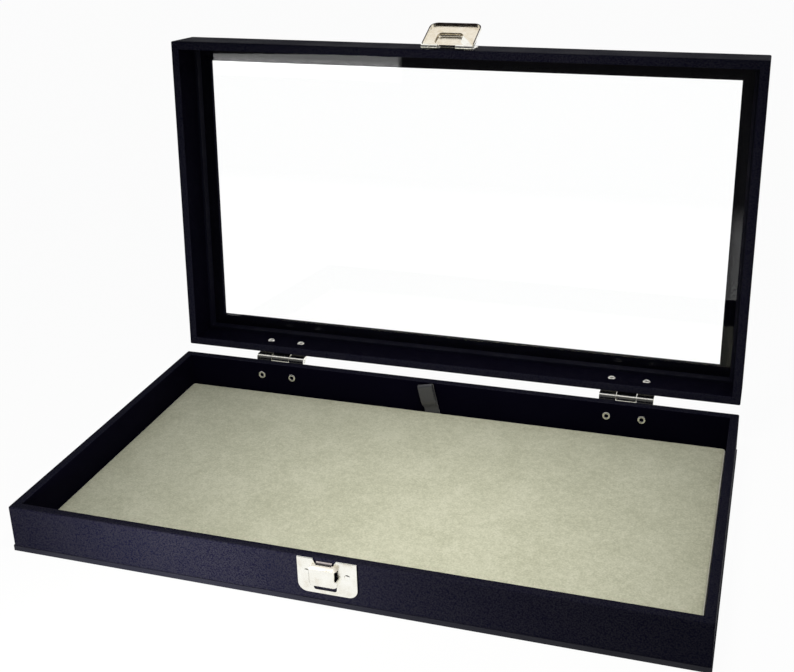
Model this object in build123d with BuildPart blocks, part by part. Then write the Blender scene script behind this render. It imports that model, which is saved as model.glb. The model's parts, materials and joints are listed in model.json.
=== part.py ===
"""Glass-lidded badge display case, shown open, in millimetres.

X runs along the case, Y from front to back and Z up. The origin is the centre of the
underside. The tray stands on its bottom board, the lid leans on its hinge stops just past
upright, and the hasp flap is folded back on the lid.
"""
from build123d import *

import os
from math import asin, cos, pi, radians, sin

os.makedirs("parts", exist_ok=True)

# ---- case ----
case_length = 374.65  # outside the walls, along X
case_depth = 209.55  # outside the walls, along Y
tray_height = 27.5  # from the underside to the tray rim
lid_height = 29.35  # from the lid rim to the top of the window frame
rim_gap = 0.3  # between the two rims when the lid is shut
wall = 5.2  # finished wall: rail and covering together
wrap = 0.4  # leatherette covering
edge_round = 0.6  # covering rounded over the outer edges
board_thickness = 3.0
board_proud = 0.4  # bottom board past the walls, all round
board_round = 0.8

# ---- window ----
window_border = 15.0  # outer face to the window edge
strip_thickness = 2.2  # window frame under its covering
glass_thickness = 2.0
glass_play = 0.4  # pane to wall, each side
bead_size = 3.0  # bead under the pane, as wide as it is high
bead_taper = 0.5  # width of the bead's foot over its width at the pane

# ---- pad ----
pad_side_gap = 0.5
pad_back_gap = 1.6  # leaves room for the rivet ends and the ribbon
pad_board_thickness = 1.6
pad_foam_thickness = 2.2
velvet = 0.6
pad_crown = 0.5  # middle of the pad above its edges
pad_edge_roll = 2.2
pad_corner = 3.0
crown_insets = (20.0, 50.0)  # where the crown is drawn, in from the edge
crown_level = 17.05  # level middle of the pad, front to back

# ---- pull ribbon ----
ribbon_x = -6.5
ribbon_width = 10.0
ribbon_thickness = 0.5
ribbon_length = 23.0  # pad underside to the top of the loop
ribbon_tail = 6.2  # single strip, flat against the back edge of the pad
ribbon_front_foot = 10.5  # where the front of the loop starts to turn back
ribbon_loop = 3.6  # front to back over the loop
ribbon_lean = 12.0  # degrees, top of the loop to the left
ribbon_foot_gap = 1.4  # tail above the bottom board

# ---- hinges ----
lid_open_angle = 93.8
hinge_inset = 69.325  # middle of a hinge to the end of the case
hinge_width = 34.0
hinge_offset = 3.6  # pin axis behind the back wall
leaf_thickness = 1.0
leaf_near = 2.9  # plate starts this far from the pin axis
leaf_length = 13.6
leaf_corner = 1.5
knuckle_radius = 2.4
knuckle_gap = 0.3
end_knuckle = 10.5
pin_radius = 1.0
pin_clearance = 0.05
strap_inner_angle = 60.0  # strap's sides meet the knuckle here, in degrees from
strap_outer_angle = 15.0  # the line out of the wall through the pin
stop_gap = 0.03  # lug to the open lid leaf
lug_reach = 2.3
lug_depth = 1.1

# ---- tubular hinge rivets ----
rivet_spacing = 22.0
rivet_drop = 9.2  # from the pin axis
rivet_shank = 1.7
rivet_clearance = 0.05
rivet_ring = 2.6
rivet_ring_height = 0.8
rivet_bore = 1.2
rivet_bore_depth = 3.4
rivet_head = 2.9
rivet_head_height = 1.0

# ---- clasp, tray half ----
clasp_x = -1.5
plate_width = 32.0
plate_thickness = 0.8
catch_height = 20.0
catch_drop = 0.3  # top of the plate below the tray rim
plate_corner = 5.0
notch_width = 12.4
notch_floor = 9.2
notch_depth = 2.9
hood_width = 15.5
hood_side = 1.3  # middle of the hood to the left of the clasp's middle
hood_height = 11.5
hood_rise = 3.4
hood_wall = 0.7
hood_corner = 2.5
hood_edge = 1.5
hood_drop = 3.0  # top of the hood below the tray rim
slot_width = 12.4
slot_rise = 1.6
slot_drop = 3.6  # lower edge of the plate's slot below the hood
slot_corner = 1.2
side_slot_height = 5.8
side_slot_up = 4.4
lip_width = 8.4
lip_rise = 0.9  # lip above the plate where it leaves the hood
lip_foot = 0.1  # lip's end above the wall
lip_drop = 1.3  # lip's end below the plate's top
clasp_pin_spacing = 21.8
clasp_pin_drop = 8.0  # tray pins below the plate's top
clasp_pin_shank = 0.8
clasp_pin_head = 1.6
clasp_pin_head_height = 0.5
clasp_pin_depth = 4.2
clasp_pin_clearance = 0.05

# ---- clasp, lid half ----
hasp_axis_rise = 1.7  # pin axis above the lid rim
hasp_axis_out = 1.75  # pin axis in front of the lid's front face
hasp_knuckle_radius = 1.4
hasp_pin_radius = 0.6
hasp_pin_clearance = 0.05
hasp_plate_height = 19.0  # above the pin axis
hasp_plate_pin_rise = 10.0
hasp_notch_depth = 7.0
hasp_end_knuckle = 5.1
hasp_inner_knuckle = 4.9
hasp_knuckle_gap = 0.3
hasp_knuckle_room = 0.4
flap_length = 26.5
flap_width = 33.0
flap_thickness = 0.8
flap_notch_depth = 3.3
flap_flange_start = 3.0
flap_seat_gap = 0.3  # flange to the catch plate when the clasp is shut
flap_fold_angle = 26.0  # flap off the lid's front face when folded back
pocket_clearance = 0.4
pocket_wall = 0.7
pocket_edge = 2.0
pocket_find = 0.01  # how near the pocket's ceiling its face is looked for
tab_width = 10.0
tab_length = 2.2
tab_curl = 1.0

# ---- worked out from the above ----
half_length = case_length / 2
half_depth = case_depth / 2
hinge_x = half_length - hinge_inset
pad_bottom = board_thickness
pad_edge_height = pad_board_thickness + pad_foam_thickness + velvet
hinge_y = half_depth + hinge_offset
hinge_z = tray_height + rim_gap / 2
rivet_hole = rivet_shank + rivet_clearance
rivet_grip = wall + leaf_thickness
clasp_pin_hole = clasp_pin_shank + clasp_pin_clearance
strip_underside = lid_height - wrap - strip_thickness
glass_underside = strip_underside - glass_thickness
inner_length = case_length - 2 * wall
inner_depth = case_depth - 2 * wall
SIDES = ("front", "back", "left", "right")

# ---- planes that the pieces are drawn on ----
open_cos = cos(radians(lid_open_angle))
open_sin = sin(radians(lid_open_angle))
lid_axis = Plane(origin=(0, hinge_y, hinge_z), x_dir=(1, 0, 0), z_dir=(0, open_sin, open_cos))
lid_rim = Plane(
    origin=lid_axis.from_local_coords((0, -hinge_offset - half_depth, rim_gap / 2)),
    x_dir=(1, 0, 0),
    z_dir=lid_axis.z_dir,
)
tray_front = Plane(origin=(clasp_x, -half_depth, 0), x_dir=(1, 0, 0), z_dir=(0, -1, 0))
tray_back = Plane(origin=(0, half_depth, hinge_z), x_dir=(-1, 0, 0), z_dir=(0, 1, 0))
lid_front = Plane(
    origin=lid_rim.from_local_coords((clasp_x, -half_depth, 0)),
    x_dir=(1, 0, 0),
    z_dir=-lid_axis.y_dir,
)
lid_back = Plane(
    origin=lid_axis.from_local_coords((0, -hinge_offset, 0)),
    x_dir=(-1, 0, 0),
    z_dir=lid_axis.y_dir,
)
tray_front_section = Plane(
    origin=tray_front.origin, x_dir=tray_front.z_dir, z_dir=-tray_front.x_dir
)
hasp_origin = lid_front.from_local_coords((0, hasp_axis_rise, hasp_axis_out))


def mitre_points(side, outer_x, outer_y, width):
    """Corners of one mitred strip of a rectangular frame, seen from above."""
    inner_x = outer_x - width
    inner_y = outer_y - width
    if side in ("front", "back"):
        way = -1 if side == "front" else 1
        return [
            (-outer_x, way * outer_y),
            (outer_x, way * outer_y),
            (inner_x, way * inner_y),
            (-inner_x, way * inner_y),
        ]
    way = -1 if side == "left" else 1
    return [
        (way * outer_x, -outer_y),
        (way * outer_x, outer_y),
        (way * inner_x, inner_y),
        (way * inner_x, -inner_y),
    ]


def section_of(face, x=0.0, y=0.0):
    """Plane square to a face: across it and out of it, through a point of the face."""
    return Plane(
        origin=face.from_local_coords((x, y, 0)), x_dir=face.x_dir, z_dir=-face.y_dir
    )


def cap_middle(radius, height):
    """Point half way along a shallow dome, from its rim to its top."""
    sphere = (radius**2 + height**2) / (2 * height)
    half_angle = asin(radius / sphere) / 2
    return sphere * sin(half_angle), height - sphere * (1 - cos(half_angle))


hinge_rivet_points = [
    (side * hinge_x + step * rivet_spacing / 2, rivet_drop) for side in (-1, 1) for step in (-1, 1)
]
tray_rivet_points = [(x, -drop) for x, drop in hinge_rivet_points]
lid_rivet_points = hinge_rivet_points
tray_pin_height = tray_height - catch_drop - clasp_pin_drop
tray_pin_points = [(way * clasp_pin_spacing / 2, tray_pin_height) for way in (-1, 1)]
lid_pin_height = hasp_axis_rise + hasp_plate_pin_rise
lid_pin_points = [(way * clasp_pin_spacing / 2, lid_pin_height) for way in (-1, 1)]


# =====================================================================================
# Tray
# =====================================================================================

with BuildPart() as base_board:
    with BuildSketch(Plane.XY):
        RectangleRounded(
            case_length + 2 * board_proud, case_depth + 2 * board_proud, board_round
        )
    extrude(amount=board_thickness)
base_board.part.label = "base_board"
export_step(base_board.part, "parts/base_board.step")

for side in SIDES:
    with BuildPart() as tray_rail:
        with BuildSketch(Plane.XY.offset(board_thickness)):
            with BuildLine():
                Polyline(
                    *mitre_points(side, half_length - wrap, half_depth - wrap, wall - 2 * wrap),
                    close=True,
                )
            make_face()
        extrude(amount=tray_height - board_thickness - wrap)
        if side == "back":
            with BuildSketch(tray_back):
                with Locations(*tray_rivet_points):
                    Circle(rivet_hole)
            extrude(amount=-wall, mode=Mode.SUBTRACT)
        if side == "front":
            with BuildSketch(tray_front):
                with Locations(*tray_pin_points):
                    Circle(clasp_pin_hole)
            extrude(amount=-clasp_pin_depth, mode=Mode.SUBTRACT)
    tray_rail.part.label = f"tray_{side}_rail"
    export_step(tray_rail.part, f"parts/tray_{side}_rail.step")

with BuildPart() as tray_wrap:
    with BuildSketch(Plane.XY.offset(board_thickness)):
        Rectangle(case_length, case_depth)
    extrude(amount=tray_height - board_thickness)
    upright_edges = tray_wrap.edges().filter_by(Axis.Z)
    rim_edges = tray_wrap.edges().group_by(Axis.Z)[-1]
    fillet(upright_edges + rim_edges, edge_round)
    with BuildSketch(Plane.XY.offset(board_thickness)):
        Rectangle(inner_length, inner_depth)
    extrude(amount=tray_height, mode=Mode.SUBTRACT)
    with BuildSketch(Plane.XY.offset(board_thickness)):
        Rectangle(case_length - 2 * wrap, case_depth - 2 * wrap)
        Rectangle(inner_length + 2 * wrap, inner_depth + 2 * wrap, mode=Mode.SUBTRACT)
    extrude(amount=tray_height - board_thickness - wrap, mode=Mode.SUBTRACT)
    with BuildSketch(tray_back):
        with Locations(*tray_rivet_points):
            Circle(rivet_hole)
    extrude(amount=-wall, mode=Mode.SUBTRACT)
    with BuildSketch(tray_front):
        with Locations(*tray_pin_points):
            Circle(clasp_pin_hole)
    extrude(amount=-clasp_pin_depth, mode=Mode.SUBTRACT)
tray_wrap.part.label = "tray_wrap"
export_step(tray_wrap.part, "parts/tray_wrap.step")


# =====================================================================================
# Pad
# =====================================================================================

pad_length = inner_length - 2 * pad_side_gap
pad_depth = inner_depth - pad_side_gap - pad_back_gap
pad_y = (pad_side_gap - pad_back_gap) / 2
pad_back = pad_y + pad_depth / 2
pad_floor = Plane(origin=(0, pad_y, pad_bottom), x_dir=(1, 0, 0), z_dir=(0, 0, 1))
pad_core_length = pad_length - 2 * velvet
pad_core_depth = pad_depth - 2 * velvet

with BuildPart() as pad_board:
    with BuildSketch(pad_floor):
        RectangleRounded(pad_core_length, pad_core_depth, pad_corner - velvet)
    extrude(amount=pad_board_thickness)
pad_board.part.label = "pad_board"
export_step(pad_board.part, "parts/pad_board.step")

with BuildPart() as pad_foam:
    with BuildSketch(pad_floor.offset(pad_board_thickness)):
        RectangleRounded(pad_core_length, pad_core_depth, pad_corner - velvet)
    extrude(amount=pad_foam_thickness)
    fillet(pad_foam.edges().group_by(Axis.Z)[-1], pad_foam_thickness / 2)
pad_foam.part.label = "pad_foam"
export_step(pad_foam.part, "parts/pad_foam.step")


def pad_sections():
    """Inset and height of the outlines that the velvet is drawn through, from the floor up."""
    roll_start = pad_edge_height - pad_edge_roll
    sections = [(0.0, 0.0), (0.0, roll_start)]
    roll_steps = 4
    for step in range(1, roll_steps + 1):
        angle = pi / 2 * step / roll_steps
        sections.append(
            (pad_edge_roll * (1 - cos(angle)), roll_start + pad_edge_roll * sin(angle))
        )
    for inset in (*crown_insets, (pad_depth - crown_level) / 2):
        fall = 1 - inset / (pad_depth / 2)
        sections.append((inset, pad_edge_height + pad_crown * (1 - fall**2)))
    return sections


with BuildPart() as pad_velvet:
    for inset, height in pad_sections():
        with BuildSketch(pad_floor.offset(height)):
            RectangleRounded(pad_length - 2 * inset, pad_depth - 2 * inset, pad_corner)
    loft(ruled=True)
    with BuildSketch(pad_floor):
        RectangleRounded(pad_core_length, pad_core_depth, pad_corner - velvet)
    extrude(amount=pad_board_thickness, mode=Mode.SUBTRACT)
    add(pad_foam.part, mode=Mode.SUBTRACT)
pad_velvet.part.label = "pad_velvet"
export_step(pad_velvet.part, "parts/pad_velvet.step")

lean = radians(ribbon_lean)
ribbon_section = Plane(
    origin=(ribbon_x, pad_back, pad_bottom + ribbon_foot_gap),
    x_dir=(0, 1, 0),
    z_dir=(cos(lean), 0, sin(lean)),
)


def ribbon_outline(inset):
    """Side view of the loop, inset from its outer face; the foot is at the origin."""
    back = ribbon_thickness - inset
    front = ribbon_thickness - ribbon_loop + inset
    reach = (back - front) / 2
    shoulder = ribbon_length - ribbon_loop / 2
    Line((back, ribbon_tail + inset), (back, shoulder))
    ThreePointArc((back, shoulder), (back - reach, shoulder + reach), (front, shoulder))
    Line((front, shoulder), (front + ribbon_thickness / 2, ribbon_front_foot))
    Line((front + ribbon_thickness / 2, ribbon_front_foot), (back, ribbon_tail + inset))


with BuildPart() as pull_ribbon:
    with BuildSketch(ribbon_section):
        with BuildLine():
            ribbon_outline(0.0)
        make_face()
        with Locations((ribbon_thickness / 2, (ribbon_tail + ribbon_thickness) / 2)):
            Rectangle(ribbon_thickness, ribbon_tail + ribbon_thickness)
        with BuildLine():
            ribbon_outline(ribbon_thickness)
        make_face(mode=Mode.SUBTRACT)
    extrude(amount=ribbon_width / 2, both=True)
pull_ribbon.part.label = "pull_ribbon"
export_step(pull_ribbon.part, "parts/pull_ribbon.step")


# =====================================================================================
# Lid
# =====================================================================================

for side in SIDES:
    with BuildPart() as lid_rail:
        with BuildSketch(lid_rim.offset(wrap)):
            with BuildLine():
                Polyline(
                    *mitre_points(side, half_length - wrap, half_depth - wrap, wall - 2 * wrap),
                    close=True,
                )
            make_face()
        extrude(amount=strip_underside - wrap)
        if side == "back":
            with BuildSketch(lid_back):
                with Locations(*lid_rivet_points):
                    Circle(rivet_hole)
            extrude(amount=-wall, mode=Mode.SUBTRACT)
        if side == "front":
            with BuildSketch(lid_front):
                with Locations(*lid_pin_points):
                    Circle(clasp_pin_hole)
            extrude(amount=-clasp_pin_depth, mode=Mode.SUBTRACT)
    lid_rail.part.label = f"lid_{side}_rail"
    export_step(lid_rail.part, f"parts/lid_{side}_rail.step")

    with BuildPart() as window_strip:
        with BuildSketch(lid_rim.offset(strip_underside)):
            with BuildLine():
                Polyline(
                    *mitre_points(
                        side, half_length - wrap, half_depth - wrap, window_border - 2 * wrap
                    ),
                    close=True,
                )
            make_face()
        extrude(amount=strip_thickness)
    window_strip.part.label = f"window_{side}_strip"
    export_step(window_strip.part, f"parts/window_{side}_strip.step")

with BuildPart() as lid_wrap:
    with BuildSketch(lid_rim):
        Rectangle(case_length, case_depth)
    extrude(amount=lid_height)
    fillet(lid_wrap.edges(), edge_round)
    with BuildSketch(lid_rim):
        Rectangle(case_length - 2 * window_border, case_depth - 2 * window_border)
    extrude(amount=lid_height, mode=Mode.SUBTRACT)
    with BuildSketch(lid_rim):
        Rectangle(inner_length, inner_depth)
    extrude(amount=strip_underside, mode=Mode.SUBTRACT)
    with BuildSketch(lid_rim.offset(wrap)):
        Rectangle(case_length - 2 * wrap, case_depth - 2 * wrap)
        Rectangle(inner_length + 2 * wrap, inner_depth + 2 * wrap, mode=Mode.SUBTRACT)
    extrude(amount=strip_underside - wrap, mode=Mode.SUBTRACT)
    covered_border = window_border - wrap
    with BuildSketch(lid_rim.offset(strip_underside)):
        Rectangle(case_length - 2 * wrap, case_depth - 2 * wrap)
        Rectangle(
            case_length - 2 * covered_border, case_depth - 2 * covered_border, mode=Mode.SUBTRACT
        )
    extrude(amount=strip_thickness, mode=Mode.SUBTRACT)
    with BuildSketch(lid_back):
        with Locations(*lid_rivet_points):
            Circle(rivet_hole)
    extrude(amount=-wall, mode=Mode.SUBTRACT)
    with BuildSketch(lid_front):
        with Locations(*lid_pin_points):
            Circle(clasp_pin_hole)
    extrude(amount=-clasp_pin_depth, mode=Mode.SUBTRACT)
lid_wrap.part.label = "lid_wrap"
export_step(lid_wrap.part, "parts/lid_wrap.step")

with BuildPart() as glass_pane:
    with BuildSketch(lid_rim.offset(glass_underside)):
        Rectangle(inner_length - 2 * glass_play, inner_depth - 2 * glass_play)
    extrude(amount=glass_thickness)
glass_pane.part.label = "glass_pane"
export_step(glass_pane.part, "parts/glass_pane.step")

for side in SIDES:
    with BuildPart() as bead:
        for height, width in (
            (glass_underside - bead_size, bead_size * bead_taper),
            (glass_underside, bead_size),
        ):
            with BuildSketch(lid_rim.offset(height)):
                with BuildLine():
                    Polyline(
                        *mitre_points(side, inner_length / 2, inner_depth / 2, width), close=True
                    )
                make_face()
        loft(ruled=True)
    bead.part.label = f"glazing_{side}_bead"
    export_step(bead.part, f"parts/glazing_{side}_bead.step")


# =====================================================================================
# Hinges
# =====================================================================================


def hinge_frame(axis_point, along_leaf, outward):
    """Hinge drawing frame: X along the pin, Y down the leaf, Z out of the wall."""
    return Plane(origin=axis_point, x_dir=along_leaf.cross(outward), z_dir=outward)


def lug_point(along):
    """Point of the stop lug under the open lid leaf, in a tray leaf's section."""
    reach = hinge_offset - leaf_thickness - stop_gap
    behind = -reach * open_cos + along * open_sin
    above = reach * open_sin + along * open_cos
    return behind, -above


def on_knuckle(angle):
    """Point of the knuckle's outline on the wall's side."""
    return -knuckle_radius * cos(radians(angle)), knuckle_radius * sin(radians(angle))


def hinge_leaf(frame, knuckles, with_lug):
    """A riveted plate with straps that step out from the wall and roll into knuckles."""
    section = Plane(origin=frame.origin, x_dir=frame.z_dir, z_dir=-frame.x_dir)
    plate_face = frame.offset(-hinge_offset)
    with BuildPart() as leaf:
        with BuildSketch(plate_face):
            with Locations((0, leaf_near + leaf_length / 2)):
                RectangleRounded(hinge_width, leaf_length, leaf_corner)
        extrude(amount=leaf_thickness)
        for centre, length in knuckles:
            with BuildSketch(section.offset(centre)):
                Circle(knuckle_radius)
                with BuildLine():
                    Polyline(
                        (-hinge_offset, leaf_near + leaf_corner),
                        (-hinge_offset, leaf_near),
                        on_knuckle(strap_outer_angle),
                        on_knuckle(strap_inner_angle),
                        (leaf_thickness - hinge_offset, leaf_near + leaf_corner),
                        close=True,
                    )
                make_face()
                if with_lug:
                    tip = lug_point(leaf_near + lug_reach)
                    with BuildLine():
                        Polyline(
                            (0, -knuckle_radius),
                            lug_point(leaf_near),
                            tip,
                            (tip[0], tip[1] + lug_depth),
                            (knuckle_radius, 0),
                            (0, 0),
                            close=True,
                        )
                    make_face()
            extrude(amount=length / 2, both=True)
        with BuildSketch(section):
            Circle(pin_radius + pin_clearance)
        extrude(amount=hinge_width, both=True, mode=Mode.SUBTRACT)
        with BuildSketch(plate_face):
            with Locations(
                (-rivet_spacing / 2, rivet_drop), (rivet_spacing / 2, rivet_drop)
            ):
                Circle(rivet_hole)
        extrude(amount=leaf_thickness, mode=Mode.SUBTRACT)
    return leaf.part


end_centre = (hinge_width - end_knuckle) / 2
end_knuckles = [(-end_centre, end_knuckle), (end_centre, end_knuckle)]
middle_knuckle = [(0, hinge_width - 2 * end_knuckle - 2 * knuckle_gap)]

for hand, hand_x in (("left", -hinge_x), ("right", hinge_x)):
    tray_frame = hinge_frame(Vector(hand_x, hinge_y, hinge_z), Vector(0, 0, -1), Vector(0, 1, 0))
    tray_leaf = hinge_leaf(tray_frame, end_knuckles, True)
    tray_leaf.label = f"{hand}_hinge_tray_leaf"
    export_step(tray_leaf, f"parts/{hand}_hinge_tray_leaf.step")

    lid_frame = hinge_frame(Vector(hand_x, hinge_y, hinge_z), lid_axis.z_dir, lid_axis.y_dir)
    lid_leaf = hinge_leaf(lid_frame, middle_knuckle, False)
    lid_leaf.label = f"{hand}_hinge_lid_leaf"
    export_step(lid_leaf, f"parts/{hand}_hinge_lid_leaf.step")

    with BuildPart() as hinge_pin:
        with BuildSketch(Plane.YZ.offset(hand_x)):
            with Locations((hinge_y, hinge_z)):
                Circle(pin_radius)
        extrude(amount=hinge_width / 2, both=True)
        chamfer(hinge_pin.edges().filter_by(GeomType.CIRCLE), pin_radius / 4)
    hinge_pin.part.label = f"{hand}_hinge_pin"
    export_step(hinge_pin.part, f"parts/{hand}_hinge_pin.step")


def tubular_rivets(inner_face, points):
    """Rivets through a wall: domed head outside, rolled ring round a hole inside."""
    arc_x, arc_y = cap_middle(rivet_head, rivet_head_height)
    head_top = rivet_grip + rivet_head_height
    ring_middle = (rivet_bore + rivet_ring) / 2
    with BuildPart() as rivets:
        for x, y in points:
            section = section_of(inner_face, x, y)
            with BuildSketch(section):
                with BuildLine():
                    Polyline(
                        (0, rivet_bore_depth),
                        (rivet_bore, rivet_bore_depth),
                        (rivet_bore, -rivet_ring_height / 2),
                    )
                    ThreePointArc(
                        (rivet_bore, -rivet_ring_height / 2),
                        (ring_middle, -rivet_ring_height),
                        (rivet_ring, 0),
                    )
                    Polyline(
                        (rivet_ring, 0),
                        (rivet_shank, 0),
                        (rivet_shank, rivet_grip),
                        (rivet_head, rivet_grip),
                    )
                    ThreePointArc(
                        (rivet_head, rivet_grip), (arc_x, rivet_grip + arc_y), (0, head_top)
                    )
                    Line((0, head_top), (0, rivet_bore_depth))
                make_face()
            revolve(axis=Axis(section.origin, inner_face.z_dir))
    return rivets.part


tray_rivets = tubular_rivets(tray_back.offset(-wall), tray_rivet_points)
tray_rivets.label = "tray_hinge_rivets"
export_step(tray_rivets, "parts/tray_hinge_rivets.step")

lid_rivets = tubular_rivets(lid_back.offset(-wall), lid_rivet_points)
lid_rivets.label = "lid_hinge_rivets"
export_step(lid_rivets, "parts/lid_hinge_rivets.step")


# =====================================================================================
# Clasp, tray half
# =====================================================================================


def clasp_pins(face, points):
    """Small round-headed pins that fasten a clasp plate to a wall."""
    arc_x, arc_y = cap_middle(clasp_pin_head, clasp_pin_head_height)
    head_top = plate_thickness + clasp_pin_head_height
    with BuildPart() as pins:
        for x, y in points:
            section = section_of(face, x, y)
            with BuildSketch(section):
                with BuildLine():
                    Polyline(
                        (0, head_top),
                        (0, -clasp_pin_depth),
                        (clasp_pin_shank, clasp_pin_shank - clasp_pin_depth),
                        (clasp_pin_shank, plate_thickness),
                        (clasp_pin_head, plate_thickness),
                    )
                    ThreePointArc(
                        (clasp_pin_head, plate_thickness),
                        (arc_x, plate_thickness + arc_y),
                        (0, head_top),
                    )
                make_face()
            revolve(axis=Axis(section.origin, face.z_dir))
    return pins.part


catch_top = tray_height - catch_drop
hood_top = tray_height - hood_drop
hood_middle = hood_top - hood_height / 2
hood_bottom = hood_top - hood_height
hood_section = tray_front_section.offset(hood_side)

with BuildPart() as catch_plate:
    with BuildSketch(tray_front) as outline:
        with Locations((0, catch_top - catch_height / 2)):
            Rectangle(plate_width, catch_height)
        fillet(outline.vertices().group_by(Axis.Y)[0], plate_corner)
        with BuildLine():
            Polyline(
                (-hood_side - notch_width / 2, catch_top),
                (-hood_side - notch_floor / 2, catch_top - notch_depth),
                (-hood_side + notch_floor / 2, catch_top - notch_depth),
                (-hood_side + notch_width / 2, catch_top),
                close=True,
            )
        make_face(mode=Mode.SUBTRACT)
        # the sheet is open behind the hood and in a slot below it
        with Locations((-hood_side, hood_middle)):
            RectangleRounded(
                hood_width - 2 * hood_wall,
                hood_height - 2 * hood_wall,
                hood_corner - hood_wall,
                mode=Mode.SUBTRACT,
            )
        with Locations((-hood_side, hood_bottom)):
            RectangleRounded(slot_width, 2 * slot_drop, slot_corner, mode=Mode.SUBTRACT)
        with Locations(*tray_pin_points):
            Circle(clasp_pin_hole, mode=Mode.SUBTRACT)
    extrude(amount=plate_thickness)
catch_plate.part.label = "catch_plate"
export_step(catch_plate.part, "parts/catch_plate.step")

with BuildPart() as catch_hood:
    with BuildSketch(tray_front.offset(plate_thickness)):
        with Locations((-hood_side, hood_middle)):
            RectangleRounded(hood_width, hood_height, hood_corner)
    extrude(amount=hood_rise)
    fillet(catch_hood.faces().sort_by(Axis.Y)[0].edges(), hood_edge)
    with BuildSketch(tray_front.offset(plate_thickness)):
        with Locations((-hood_side, hood_middle)):
            RectangleRounded(
                hood_width - 2 * hood_wall, hood_height - 2 * hood_wall, hood_corner - hood_wall
            )
    extrude(amount=hood_rise - hood_wall, mode=Mode.SUBTRACT)
    # the slot under the hood and the opening in its right side
    with BuildSketch(tray_front.offset(plate_thickness)):
        with Locations((-hood_side, hood_bottom)):
            Rectangle(slot_width, 4 * hood_wall)
    extrude(amount=slot_rise, mode=Mode.SUBTRACT)
    with BuildSketch(tray_front.offset(plate_thickness)):
        with Locations(
            (hood_width / 2 - hood_side, hood_bottom + side_slot_up + side_slot_height / 2)
        ):
            RectangleRounded(4 * hood_wall, side_slot_height, hood_wall)
    extrude(amount=hood_rise, mode=Mode.SUBTRACT)
    # the low curved lip that lies in the plate's notch
    lip_top = plate_thickness + lip_rise
    lip_end = catch_top - lip_drop
    with BuildSketch(hood_section):
        with BuildLine():
            ThreePointArc(
                (lip_top, hood_top), (lip_top * 0.75, (hood_top + lip_end) / 2), (lip_foot, lip_end)
            )
            Polyline(
                (lip_foot, lip_end),
                (lip_foot, lip_end - hood_wall),
                (plate_thickness, hood_top),
                (plate_thickness, hood_top - hood_wall),
                (lip_top, hood_top - hood_wall),
                (lip_top, hood_top),
            )
        make_face()
    extrude(amount=lip_width / 2, both=True)
catch_hood.part.label = "catch_hood"
export_step(catch_hood.part, "parts/catch_hood.step")

tray_pins = clasp_pins(tray_front, tray_pin_points)
tray_pins.label = "catch_pins"
export_step(tray_pins, "parts/catch_pins.step")


# =====================================================================================
# Clasp, lid half
# =====================================================================================

hasp_inner_end = plate_width / 2 - hasp_end_knuckle - hasp_knuckle_gap
hasp_notch_half = hasp_inner_end - hasp_inner_knuckle
hasp_section = Plane(origin=hasp_origin, x_dir=lid_front.z_dir, z_dir=-lid_front.x_dir)

with BuildPart() as hasp_plate:
    with BuildSketch(lid_front) as outline:
        with Locations((0, hasp_axis_rise + hasp_plate_height / 2)):
            Rectangle(plate_width, hasp_plate_height)
        fillet(outline.vertices().group_by(Axis.Y)[-1], plate_corner)
        with Locations((0, hasp_axis_rise)):
            Rectangle(
                2 * (hasp_inner_end + hasp_knuckle_gap),
                2 * (hasp_knuckle_radius + hasp_knuckle_room),
                mode=Mode.SUBTRACT,
            )
            Rectangle(2 * hasp_notch_half, 2 * hasp_notch_depth, mode=Mode.SUBTRACT)
        with Locations(*lid_pin_points):
            Circle(clasp_pin_hole, mode=Mode.SUBTRACT)
    extrude(amount=plate_thickness)
    for way in (-1, 1):
        with BuildSketch(hasp_section.offset(way * (plate_width - hasp_end_knuckle) / 2)):
            Circle(hasp_knuckle_radius)
            with BuildLine():
                Polyline(
                    (-hasp_axis_out, 0),
                    (-hasp_axis_out, hasp_knuckle_radius),
                    (plate_thickness - hasp_axis_out, hasp_knuckle_radius),
                    (0, 0),
                    close=True,
                )
            make_face()
        extrude(amount=hasp_end_knuckle / 2, both=True)
    with BuildSketch(hasp_section):
        Circle(hasp_pin_radius + hasp_pin_clearance)
    extrude(amount=plate_width, both=True, mode=Mode.SUBTRACT)
hasp_plate.part.label = "hasp_plate"
export_step(hasp_plate.part, "parts/hasp_plate.step")

lid_pins = clasp_pins(lid_front, lid_pin_points)
lid_pins.label = "hasp_plate_pins"
export_step(lid_pins, "parts/hasp_plate_pins.step")

# a short pin at each side, so that the middle notch stays open
pin_length = plate_width / 2 - hasp_notch_half
with BuildPart() as hasp_pin:
    for way in (-1, 1):
        with BuildSketch(hasp_section.offset(way * (hasp_notch_half + pin_length / 2))):
            Circle(hasp_pin_radius)
        extrude(amount=pin_length / 2, both=True)
hasp_pin.part.label = "hasp_pin"
export_step(hasp_pin.part, "parts/hasp_pin.step")

# The flap is drawn down from its pin axis, with its outer face up, and folded back.
fold = radians(180 - flap_fold_angle)
flap_outward = lid_front.z_dir * cos(fold) + lid_axis.z_dir * sin(fold)
flap = Plane(origin=hasp_origin, x_dir=(-1, 0, 0), z_dir=flap_outward)
flap_section = Plane(origin=hasp_origin, x_dir=flap.z_dir, z_dir=-flap.x_dir)
flap_outer = hasp_knuckle_radius
flap_inner = flap_outer - flap_thickness
flange_end = plate_thickness + flap_seat_gap - hasp_axis_out
axis_drop = hasp_axis_rise + rim_gap + tray_height  # height of the axis when the lid is shut
pocket_start = axis_drop - hood_top - pocket_clearance
pocket_end = axis_drop - hood_bottom + pocket_clearance
pocket_length = pocket_end - pocket_start
pocket_middle = (pocket_start + pocket_end) / 2
pocket_width = hood_width + 2 * pocket_clearance
pocket_ceiling = plate_thickness + hood_rise + pocket_clearance - hasp_axis_out
pocket_corner = hood_corner + pocket_clearance

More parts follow.
